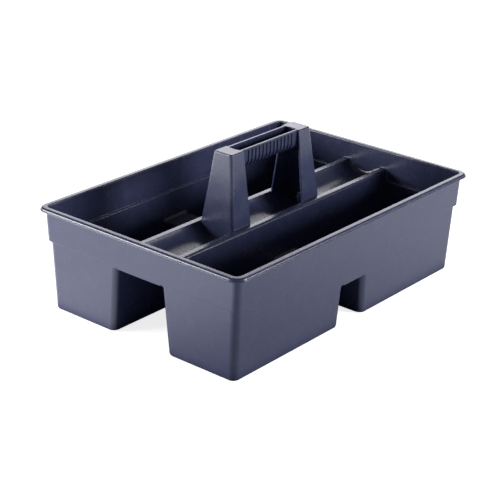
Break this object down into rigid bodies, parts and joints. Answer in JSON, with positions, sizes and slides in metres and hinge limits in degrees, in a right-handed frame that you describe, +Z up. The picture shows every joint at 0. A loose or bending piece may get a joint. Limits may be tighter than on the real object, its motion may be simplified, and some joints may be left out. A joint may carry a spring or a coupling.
{
  "type": "carry caddy",
  "caption": "Stepped plastic carry caddy with corner bays, a central trough and a raised post handle with a grooved, open-topped grip.",
  "frame": {"origin": "middle of the footprint, on the plane the feet rest on", "axes": "+Z up, +X along the long side and the grip, +Y across the short side"},
  "size_m": [0.406, 0.277, 0.175],
  "materials": {
    "tub_plastic": "moulded polypropylene, dark blue-grey, semi-matt with a soft sheen",
    "handle_plastic": "moulded polypropylene, dark blue-grey, semi-matt with a soft sheen",
    "screw_steel": "zinc-plated self-tapping screws"
  },
  "bodies": {
    "root": {"tub": "tub_plastic", "handle": "handle_plastic", "handle_screws": "screw_steel"}
  },
  "joints": []
}
